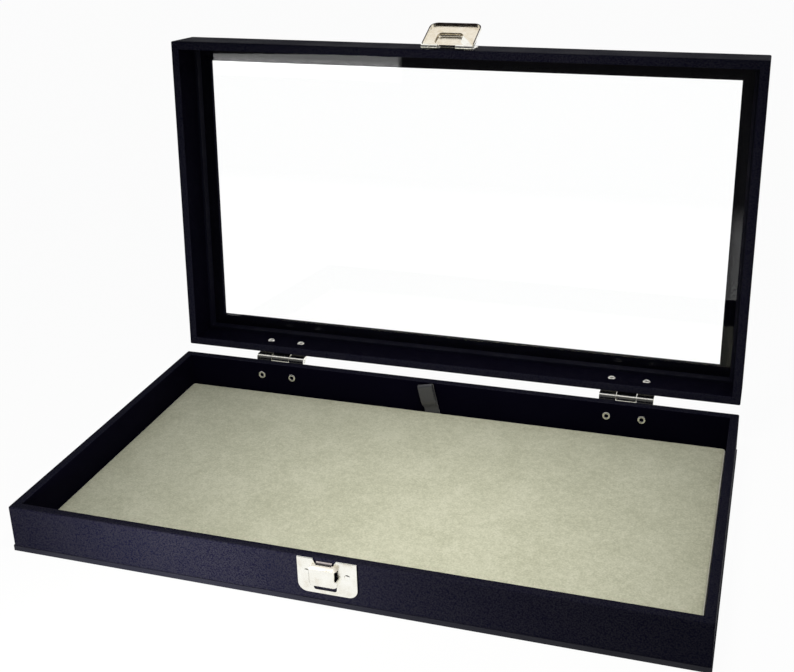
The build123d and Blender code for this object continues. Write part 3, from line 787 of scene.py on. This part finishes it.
def rise(pad, bottom):
    """Lets the velvet swell over the foam as cloth under a little pressure."""
    rest = [vertex.co.copy() for vertex in pad.data.vertices]
    held = pad.vertex_groups.new(name="held")
    low_edge = (bottom + GLUED_HEIGHT) * MM
    held.add([v.index for v in pad.data.vertices if v.co.z < low_edge], 1.0, "REPLACE")
    cloth = pad.modifiers.new("swell", "CLOTH")
    cloth.settings.quality = 5
    cloth.settings.mass = 0.25
    cloth.settings.tension_stiffness = 25.0
    cloth.settings.compression_stiffness = 25.0
    cloth.settings.bending_stiffness = 1.5
    cloth.settings.use_pressure = True
    cloth.settings.uniform_pressure_force = 3.0
    cloth.settings.vertex_group_mass = "held"
    cloth.settings.effector_weights.gravity = 0.0
    cloth.collision_settings.use_collision = False
    scene = bpy.context.scene
    for step in range(CLOTH_FRAMES):
        scene.frame_set(step + 1)
    swollen = pad.evaluated_get(bpy.context.evaluated_depsgraph_get())
    places = [vertex.co.copy() for vertex in swollen.data.vertices]
    pad.modifiers.remove(cloth)
    pad.vertex_groups.remove(held)
    scene.frame_set(1)
    for vertex, before, after in zip(pad.data.vertices, rest, places):
        move = after - before
        if move.length > MOST_RISE * MM:
            move = move.normalized() * MOST_RISE * MM
        vertex.co = before + move


def unevenness(x, y):
    """Soft waves and ripples of the velvet, in millimetres, at a place in metres."""
    waves = noise.noise(Vector((x, y, 0.0)) / 0.034)
    ripples = noise.noise(Vector((x, y, 3.0)) / 0.009)
    return 0.10 * waves + 0.035 * ripples


def make_pad():
    mesh, bottom = velvet_form()
    pad = new_piece("velvet_pad", mesh, "pad", ["pad_velvet"])
    rise(pad, bottom)
    for vertex in pad.data.vertices:
        if vertex.co.z > (bottom + LOOSE_HEIGHT) * MM:
            vertex.co.z += unevenness(vertex.co.x, vertex.co.y) * MM
    smoother = pad.modifiers.new("nap", "SUBSURF")
    smoother.levels = 1
    smoother.render_levels = 1


make_pad()


# ---- pull ribbon ----

RIBBON_X = -6.5
RIBBON_WIDTH = 10.0
RIBBON_LEAN = radians(12.0)
RIBBON_CLOTH = 0.28
RIBBON_FOOT = 1.4  # above the velvet's lower edge
RIBBON_STEP = 0.45
RIBBON_STRANDS = 12
RIBBON_CUP = 0.16
RIBBON_DRIFT = 0.12
RIBBON_EASE = 0.99  # of the width, because the ribbon is cupped
CURVE_STEPS = 8


def ribbon_line():
    """Side view of the loop, from one glued end, up, over and down to the other."""
    line = [(0.38, 0.0), (0.38, 7.0), (0.36, 14.0), (0.3, 20.2)]
    line += [
        (-1.25 + 1.55 * cos(radians(angle)), 21.2 + 1.55 * sin(radians(angle)))
        for angle in (0, 22, 45, 68, 90, 112, 135, 158, 180)
    ]
    line += [(-2.84, 19.0), (-2.8, 15.0), (-2.62, 11.5), (-1.9, 9.2), (-0.8, 7.6)]
    line += [(-0.08, 6.2), (0.0, 4.0), (0.02, 2.0), (0.02, 0.0)]
    return [Vector(point) for point in line]


def evenly(line, spacing):
    """A smooth curve through the points, at even steps, with the distance along it."""
    fine = []
    for k in range(len(line) - 1):
        p0 = line[max(k - 1, 0)]
        p1, p2 = line[k], line[k + 1]
        p3 = line[min(k + 2, len(line) - 1)]
        for step in range(CURVE_STEPS):
            t = step / CURVE_STEPS
            fine.append(
                0.5
                * (
                    2 * p1
                    + (p2 - p0) * t
                    + (2 * p0 - 5 * p1 + 4 * p2 - p3) * t**2
                    + (3 * p1 - p0 - 3 * p2 + p3) * t**3
                )
            )
    fine.append(line[-1])
    length = sum((b - a).length for a, b in zip(fine, fine[1:]))
    count = round(length / spacing)
    stations = []
    walked = 0.0
    for a, b in zip(fine, fine[1:]):
        run = (b - a).length
        while len(stations) <= count and length * len(stations) / count <= walked + run + 1e-6:
            gone = length * len(stations) / count
            stations.append((a.lerp(b, (gone - walked) / run if run else 0.0), gone))
        walked += run
    return stations, length


def make_ribbon():
    back = high("pad_velvet").y
    foot = Vector((RIBBON_X, back, low("pad_velvet").z + RIBBON_FOOT))
    up = Vector((-sin(RIBBON_LEAN), 0.0, cos(RIBBON_LEAN)))
    across = Vector((cos(RIBBON_LEAN), 0.0, sin(RIBBON_LEAN)))
    stations, length = evenly(ribbon_line(), RIBBON_STEP)
    points = []
    for place, gone in stations:
        loose = sin(pi * gone / length)
        for strand in range(RIBBON_STRANDS + 1):
            share = strand / RIBBON_STRANDS * 2 - 1
            cup = RIBBON_CUP * share**2
            drift = RIBBON_DRIFT * noise.noise(Vector((share, gone / 7.0, 0.0)))
            point = (
                foot
                + across * (share * RIBBON_WIDTH / 2 * RIBBON_EASE)
                + up * place.y
                + Vector((0.0, place.x + (drift - cup) * loose, 0.0))
            )
            points.append(point * MM)
    row = RIBBON_STRANDS + 1
    faces = [
        (i * row + j, i * row + j + 1, (i + 1) * row + j + 1, (i + 1) * row + j)
        for i in range(len(stations) - 1)
        for j in range(RIBBON_STRANDS)
    ]
    mesh = bpy.data.meshes.new("pull_loop")
    mesh.from_pydata(points, [], faces)
    mesh.materials.append(NODE_FINISHES["ribbon_satin"])
    along = mesh.uv_layers.new(name="along")
    for loop in mesh.loops:
        station, strand = divmod(loop.vertex_index, row)
        share = strand / RIBBON_STRANDS
        along.data[loop.index].uv = (share * RIBBON_WIDTH, stations[station][1])
    smooth(mesh, 60.0)
    ribbon = new_piece("pull_loop", mesh, "pad", ["pull_ribbon"])
    cloth = ribbon.modifiers.new("cloth", "SOLIDIFY")
    cloth.thickness = RIBBON_CLOTH * MM
    cloth.offset = 0.0
    flat = (RIBBON_WIDTH * MM, length * MM)


make_ribbon()


# ---- rivets and pins, turned and set by Geometry Nodes ----


def turned_tree(name, sizes, profile):
    """A tree that turns a section round its axis and sets one at each place.

    The sizes become named inputs; the profile is a list of (radius, height) made of them.
    """
    group = bpy.data.node_groups.new(name, "GeometryNodeTree")
    face = group.interface
    face.new_socket("Places", in_out="INPUT", socket_type="NodeSocketGeometry")
    for label in sizes:
        face.new_socket(label, in_out="INPUT", socket_type="NodeSocketFloat")
    face.new_socket("Sides", in_out="INPUT", socket_type="NodeSocketInt")
    face.new_socket("Turn", in_out="INPUT", socket_type="NodeSocketVector")
    face.new_socket("Finish", in_out="INPUT", socket_type="NodeSocketMaterial")
    face.new_socket("Pieces", in_out="OUTPUT", socket_type="NodeSocketGeometry")
    tree = Tree(group)
    given = tree.add("NodeGroupInput")
    section = profile(*[given.of(label) for label in sizes])
    steps = len(section)
    grid = tree.add(
        "GeometryNodeMeshGrid",
        None,
        {"Vertices X": given.of("Sides") + 1, "Vertices Y": steps},
    )
    index = tree.add("GeometryNodeInputIndex")
    step = index % steps
    angle = (index - step) / steps / given.of("Sides") * tau
    choice = {"data_type": "FLOAT", "choices": steps}
    values = [{0: step}, {0: step}]
    for k, (radius, height) in enumerate(section):
        values[0][k + 1] = radius
        values[1][k + 1] = height
    radius = tree.add("GeometryNodeIndexSwitch", choice, values[0])
    height = tree.add("GeometryNodeIndexSwitch", choice, values[1])
    place = tree.add(
        "ShaderNodeCombineXYZ",
        None,
        {
            "X": radius * tree.math("COSINE", angle),
            "Y": radius * tree.math("SINE", angle),
            "Z": height,
        },
    )
    turned = tree.add("GeometryNodeSetPosition", None, {"Geometry": grid, "Position": place})
    welded = tree.add(
        "GeometryNodeMergeByDistance", None, {"Geometry": turned, "Distance": WELD}
    )
    facing = tree.add("FunctionNodeEulerToRotation", None, {"Euler": given.of("Turn")})
    placed = tree.add(
        "GeometryNodeInstanceOnPoints",
        None,
        {"Points": given.of("Places"), "Instance": welded, "Rotation": facing},
    )
    real = tree.add("GeometryNodeRealizeInstances", None, {"Geometry": placed})
    finished = tree.add(
        "GeometryNodeSetMaterial", None, {"Geometry": real, "Material": given.of("Finish")}
    )
    tree.add("NodeGroupOutput", None, {"Pieces": finished})
    return group


def rivet_profile(ring, ring_height, bore, bore_depth, shank, grip, head, head_height):
    """Bore, rolled lip, shank and domed head; the lip's seat is at height 0."""
    middle = (ring + bore) / 2
    half = (ring - bore) / 2
    section = [(0.0, -bore_depth), (bore, -bore_depth)]
    for angle in (180, 155, 130, 105, 80, 55, 30, 8):
        turn = radians(angle)
        section.append((middle + half * cos(turn), ring_height * sin(turn) ** 0.7))
    section += [(ring * 0.985, ring * 0.0), (shank, ring * 0.0), (shank, -grip)]
    section.append((head * 0.97, -grip))
    for share in (1.0, 0.93, 0.8, 0.6, 0.35, 0.0):
        section.append((head * share, -grip - head_height * (0.22 + 0.78 * (1 - share**2))))
    return section


def pin_profile(head, head_height, shank, depth):
    """Domed head, plain shank and a short point; the head's seat is at height 0."""
    section = []
    for share in (0.0, 0.35, 0.62, 0.84, 0.96):
        section.append((head * share, head_height * (0.25 + 0.75 * (1 - share**2) ** 0.8)))
    section += [(head, head_height * 0.2), (head * 0.98, head * 0.0), (shank, head * 0.0)]
    section += [(shank, -depth * 0.8), (head * 0.0, -depth)]
    return section


RIVET_SIZES = {
    "Ring Radius": 2.6,
    "Ring Height": 0.8,
    "Bore Radius": 1.2,
    "Bore Depth": 3.4,
    "Shank Radius": 1.7,
    "Grip": 6.2,
    "Head Radius": 2.9,
    "Head Height": 1.0,
}
PIN_SIZES = {
    "Head Radius": 1.6,
    "Head Height": 0.5,
    "Shank Radius": 0.8,
    "Depth": 4.0,
}


FACING_OUT = (pi / 2, 0.0, 0.0)


def set_turned(name, tree, sizes, places, body, replaced):
    """Runs the tree on its places and keeps the result as one plain mesh."""
    holder = bpy.data.objects.new(name + "_places", bpy.data.meshes.new(name))
    holder.data.from_pydata([Vector(place) * MM for place in places], [], [])
    bpy.context.scene.collection.objects.link(holder)
    modifier = holder.modifiers.new("turned", "NODES")
    modifier.node_group = tree
    values = {label: size * MM for label, size in sizes.items()}
    values.update({"Sides": TURNED_SIDES, "Turn": FACING_OUT, "Finish": NICKEL})
    for item in tree.interface.items_tree:
        if item.in_out == "INPUT" and item.name in values:
            modifier[item.identifier] = values[item.name]
    holder.update_tag()
    graph = bpy.context.evaluated_depsgraph_get()
    mesh = bpy.data.meshes.new_from_object(holder.evaluated_get(graph))
    holder.modifiers.remove(modifier)
    bpy.data.objects.remove(holder)
    mesh.name = name
    work = bmesh.new()
    work.from_mesh(mesh)
    bmesh.ops.recalc_face_normals(work, faces=work.faces)
    work.to_mesh(mesh)
    work.free()
    smooth(mesh, 50.0)
    return new_piece(name, mesh, body, [replaced])


HINGE_X = 118.0
RIVET_SPACING = 22.0
RIVET_DROP = 9.2
HINGE_Z = 27.65
CLASP_X = -1.5
CLASP_PIN_HALF = 10.9
CATCH_PIN_Z = 19.2
HASP_PIN_Z = LID_RIM + 11.7
TURNED_SIDES = 28


def rivet_places(height):
    """Seats of the four rivets on the inner face of the back wall."""
    return [
        (side * HINGE_X + step * RIVET_SPACING / 2, HALF_DEPTH - WALL, height)
        for side in (-1, 1)
        for step in (-1, 1)
    ]


def pin_places(height):
    """Seats of two pins on the face of a clasp plate."""
    plate_face = low("catch_plate").y
    return [(CLASP_X + side * CLASP_PIN_HALF, plate_face, height) for side in (-1, 1)]


def make_fasteners():
    rivet = turned_tree("tubular_rivet", RIVET_SIZES, rivet_profile), RIVET_SIZES
    pin = turned_tree("domed_pin", PIN_SIZES, pin_profile), PIN_SIZES
    low_rivets = rivet_places(HINGE_Z - RIVET_DROP)
    high_rivets = rivet_places(HINGE_Z + RIVET_DROP)
    catch_pins = pin_places(CATCH_PIN_Z)
    hasp_pins = pin_places(HASP_PIN_Z)
    set_turned("tray_rivets", *rivet, low_rivets, "tray", "tray_hinge_rivets")
    lid_rivets = set_turned("lid_rivets", *rivet, high_rivets, "lid", "lid_hinge_rivets")
    lid_rivets.data.transform(OPEN_LID)
    set_turned("catch_pin_heads", *pin, catch_pins, "tray", "catch_pins")
    hasp_heads = set_turned("hasp_pin_heads", *pin, hasp_pins, "lid", "hasp_plate_pins")
    hasp_heads.data.transform(OPEN_LID)


make_fasteners()


# ---- stamped metal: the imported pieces' own shapes, with their edges broken ----


def all_bright(middle, facing):
    """The finish of a metal piece that is the same all over."""
    return NICKEL


CLASP_BREAK = 0.12
LEAF_BREAK = 0.1
STAMPED_WELD = 0.003 * MM
FLAT_ANGLE = radians(1.0)


def stamped(node, name, body, finish_of=all_bright):
    """A copy of a packed metal piece, welded, with smooth bends and softened edges.

    The finish of a face comes from finish_of(its middle in millimetres, its normal).
    """
    mesh = NODES[node].data.copy()
    mesh.name = name
    work = bmesh.new()
    work.from_mesh(mesh)
    bmesh.ops.remove_doubles(work, verts=work.verts, dist=STAMPED_WELD)
    bmesh.ops.dissolve_limit(
        work, angle_limit=FLAT_ANGLE, verts=work.verts, edges=work.edges
    )
    work.to_mesh(mesh)
    work.free()
    mesh.materials.clear()
    used = []
    for face in mesh.polygons:
        finish = finish_of(face.center / MM, face.normal)
        if finish not in used:
            used.append(finish)
            mesh.materials.append(finish)
        face.material_index = used.index(finish)
    smooth(mesh, 30.0)
    piece = new_piece(name, mesh, body, [node])
    broken = piece.modifiers.new("broken_edges", "BEVEL")
    broken.width = (LEAF_BREAK if "hinge" in node else CLASP_BREAK) * MM
    broken.segments = 2
    broken.limit_method = "ANGLE"
    broken.angle_limit = radians(40.0)
    broken.use_clamp_overlap = True
    broken.harden_normals = False
    return piece


HOOD_TOP = 24.6
HOOD_X = CLASP_X - 1.3
HOOD_HALF = 7.2
SHEET = 0.75
UPWARD = 0.3  # least upward part of the normal of a face that looks up
FLAP_HALF = 15.6
FLAP_END = 25.6
FLAP_RISE = radians(22.2)
TURNED_START = 14.0
EDGE_START = 0.3
EDGE_LENGTH = 1.1
TAB_LENGTH = 3.0
TAB_HEIGHT = 0.4
POCKET_X = -1.3
POCKET_HALF = 8.3
POCKET_START = 4.5
POCKET_END = 17.0


def hood_painted_shade(middle, facing):
    """Painted shade on the hood: a dull pinkish copy on the lip, a dimmer satin copy on the upward faces, and a
    near-black copy inside the hood.
    """
    if middle.z > HOOD_TOP:
        return LIP_SHADE_NICKEL
    if facing.z > UPWARD:
        return TOP_SHADE_NICKEL
    inside = middle.y > low("catch_hood").y + SHEET and abs(middle.x - HOOD_X) < HOOD_HALF
    return SHADOW_NICKEL if inside else NICKEL


def in_flap(vector):
    """The parts of a vector along the folded flap, away from its pin, and off the lid."""
    along = vector.y * cos(FLAP_RISE) + vector.z * sin(FLAP_RISE)
    off_lid = vector.z * cos(FLAP_RISE) - vector.y * sin(FLAP_RISE)
    return along, off_lid


def flap_painted_shade_and_reflection(middle, facing):
    """Painted shade and dark reflection at the turned edges and the tab, a painted cream reflection of the pad in
    the pocket, else bright.
    """
    from_pin = middle - Vector(joint_row("hasp_hinge")["pos_m"]) / MM
    across = from_pin.x
    along, above = in_flap(from_pin)
    facing_along, facing_off_lid = in_flap(facing)
    back_of_edge = along > FLAP_END - EDGE_START and facing_along < -0.5
    end_edge = back_of_edge or along > FLAP_END + EDGE_LENGTH
    side_edge = abs(across) > FLAP_HALF and facing.x * across < -4.0 and along > TURNED_START
    tab = above > TAB_HEIGHT and along > FLAP_END - TAB_LENGTH
    if end_edge or side_edge or tab:
        return SHADOW_NICKEL
    pocket = abs(across - POCKET_X) < POCKET_HALF and POCKET_START < along < POCKET_END
    return PAD_REFLECTION_NICKEL if pocket and facing_off_lid > -0.2 else NICKEL


def make_metal():
    stamped("catch_plate", "catch_backplate", "tray")
    stamped("catch_hood", "catch_cover", "tray", hood_painted_shade)
    stamped("hasp_plate", "hasp_backplate", "lid")
    stamped("hasp_flap", "hasp_leaf", "hasp", flap_painted_shade_and_reflection)
    for hand in ("left", "right"):
        for half in ("tray", "lid"):
            stamped(f"{hand}_hinge_{half}_leaf", f"{hand}_{half}_hinge", half)


make_metal()


# ---- floor, light and camera ----


GLASS_LOSS = 0.09
FLOOR_HALF = 9.0
FLOOR_FRONT = -2.5
FLOOR_WHITE = 0.965  # the floor's own white; the rest takes the shadow
WHITE = rgb(1.0, 1.0, 1.0)
DARK_ROOM = 0.06
SCREEN = 3.2
ROOM = 0.185
UNLIT_FLOOR = (-0.75, -0.5)  # where the mirrored floor grows light
SCREEN_RIGHT = (-0.312, -0.306)  # directions between which the screen ends
SCREEN_TOP = (-0.056, -0.055)
BEHIND_CAMERA = (-0.5, -0.2)


def bright_background(tree):
    """1 where the background is looked at, mirrored or seen through glass, else 0."""
    path = tree.add("ShaderNodeLightPath")
    seen = tree.math("MAXIMUM", path.of("Is Camera Ray"), path.of("Is Glossy Ray"))
    return tree.math("MAXIMUM", seen, path.of("Is Transmission Ray"))


def background_white(tree):
    """White's strength: a little more behind glass, to make up for what the pane takes."""
    return tree.add("ShaderNodeLightPath").of("Is Transmission Ray") * GLASS_LOSS + 1.0


def mirrored_share(tree):
    """1 for what is seen in a mirroring surface, and 0 for what is seen through glass."""
    return tree.math("MINIMUM", tree.add("ShaderNodeLightPath").of("Glossy Depth"), 1.0)


def floor_finish():
    """A plain white floor that shows as white and still takes a soft shadow."""
    finish = Finish("white_floor")
    dust = finish.noise(40.0, detail=2.0)
    colour = finish.blend(dust, rgb(0.80, 0.80, 0.80), rgb(0.82, 0.82, 0.82))
    matt = finish.add("ShaderNodeBsdfDiffuse", None, {"Color": colour})
    white = finish.add(
        "ShaderNodeEmission",
        None,
        {"Color": WHITE, "Strength": background_white(finish)},
    )
    depth = finish.add("ShaderNodeSeparateXYZ", None, {"Vector": finish.place}).of("Y")
    unlit = mirrored_share(finish) * finish.spread(depth, *UNLIT_FLOOR, 1.0, 0.0)
    share = bright_background(finish) * FLOOR_WHITE
    plain = finish.add("ShaderNodeMixShader", None, {0: share, 1: matt, 2: white})
    dim = finish.add("ShaderNodeEmission", None, {"Color": WHITE, "Strength": DARK_ROOM})
    return finish.done(finish.add("ShaderNodeMixShader", None, {0: unlit, 1: plain, 2: dim}))


def make_floor():
    mesh = bpy.data.meshes.new("floor")
    front = [(side * FLOOR_HALF, FLOOR_FRONT, 0.0) for side in (-1, 1)]
    back = [(side * FLOOR_HALF, FLOOR_HALF, 0.0) for side in (1, -1)]
    mesh.from_pydata(front + back, [], [(0, 1, 2, 3)])
    mesh.materials.append(floor_finish())
    floor = bpy.data.objects.new("floor", mesh)
    bpy.context.scene.collection.objects.link(floor)


def make_world():
    """A white room: full white where it is looked at, softer where it only lights.

    What shines on the case from behind the camera is a dark room with one bright screen at
    the left, so that the glass over the dark frame mirrors the screen.
    """
    world = bpy.data.worlds.new("white_room")
    bpy.context.scene.world = world
    world.use_nodes = True
    world.node_tree.nodes.clear()
    tree = Tree(world.node_tree)
    direction = tree.add("ShaderNodeTexCoord").of("Generated")
    towards = tree.add("ShaderNodeSeparateXYZ", None, {"Vector": direction})
    beside = tree.spread(towards.of("X"), *SCREEN_RIGHT, 1.0, 0.0)
    under = tree.spread(towards.of("Z"), *SCREEN_TOP, 1.0, 0.0)
    screen = beside * under * SCREEN + DARK_ROOM
    mirrored = tree.spread(towards.of("Y"), *BEHIND_CAMERA)
    mirrored = mirrored + (1.0 - mirrored) * screen
    share = mirrored_share(tree)
    strength = (1.0 - share) * background_white(tree) + share * mirrored
    seen = tree.add("ShaderNodeBackground", None, {"Color": WHITE, "Strength": strength})
    cool = rgb(0.82, 0.88, 1.0)
    room = tree.add("ShaderNodeBackground", None, {"Color": cool, "Strength": ROOM})
    looked_at = bright_background(tree)
    mixed = tree.add("ShaderNodeMixShader", None, {0: looked_at, 1: room, 2: seen})
    tree.add("ShaderNodeOutputWorld", None, {"Surface": mixed})


def lamp(name, place, target, size, power, colour, beam):
    """A soft square lamp with a beam of so many degrees, out of the camera's sight."""
    data = bpy.data.lights.new(name, "AREA")
    data.shape = "RECTANGLE"
    data.size, data.size_y = size
    data.energy = power
    data.color = colour
    data.spread = radians(beam)
    light = bpy.data.objects.new(name, data)
    bpy.context.scene.collection.objects.link(light)
    aim = target - place
    facing = aim.to_track_quat("-Z", "Y").to_matrix().to_4x4()
    light.matrix_world = Matrix.Translation(place) @ facing
    light.visible_camera = False
    light.visible_glossy = False


def make_lamps():
    """A warm lamp over the pad, and a whiter one near the front face's left half."""
    over_pad = Vector((0.045, -0.12, 0.45))
    pad_middle = Vector((0.03, -0.05, 0.02))
    lamp("top_lamp", over_pad, pad_middle, (0.14, 0.12), 0.53, (1.0, 0.985, 0.87), 95.0)
    front_left = Vector((-0.08, -0.23, 0.033))
    front_face = Vector((-0.08, -0.105, 0.014))
    lamp("front_lamp", front_left, front_face, (0.07, 0.05), 0.46, (1.0, 0.99, 0.93), 178.0)


PICTURE_WIDTH = 794.0  # the photograph's, in pixels, as the next two
FOCAL_LENGTH = 1174.384
VIEW_SHIFT = (-19.667, -52.966)
CAMERA_PLACE = Vector((195.42, -562.098, 368.422))
CAMERA_TURN = (17.732, 21.376, -1.397)  # azimuth, elevation and roll in degrees


def make_camera():
    """The photograph's viewpoint, found from the case's own edges and size."""
    azimuth, elevation, roll = (radians(angle) for angle in CAMERA_TURN)
    back = Vector(
        (sin(azimuth) * cos(elevation), -cos(azimuth) * cos(elevation), sin(elevation))
    )
    level = back.cross(Vector((0.0, 0.0, -1.0))).normalized()
    upright = back.cross(level)
    right = level * cos(roll) + upright * sin(roll)
    up = upright * cos(roll) - level * sin(roll)
    turned = Matrix((right, up, back)).transposed().to_4x4()
    data = bpy.data.cameras.new("camera")
    data.sensor_width = 36.0
    data.lens = FOCAL_LENGTH * data.sensor_width / PICTURE_WIDTH
    data.shift_x = VIEW_SHIFT[0] / PICTURE_WIDTH
    data.shift_y = VIEW_SHIFT[1] / PICTURE_WIDTH
    data.clip_start = 0.02
    data.clip_end = 60.0
    camera = bpy.data.objects.new("camera", data)
    camera.matrix_world = Matrix.Translation(CAMERA_PLACE * MM) @ turned
    bpy.context.scene.collection.objects.link(camera)
    bpy.context.scene.camera = camera


make_floor()
make_world()
make_lamps()
make_camera()
bpy.context.scene.view_settings.view_transform = "Standard"
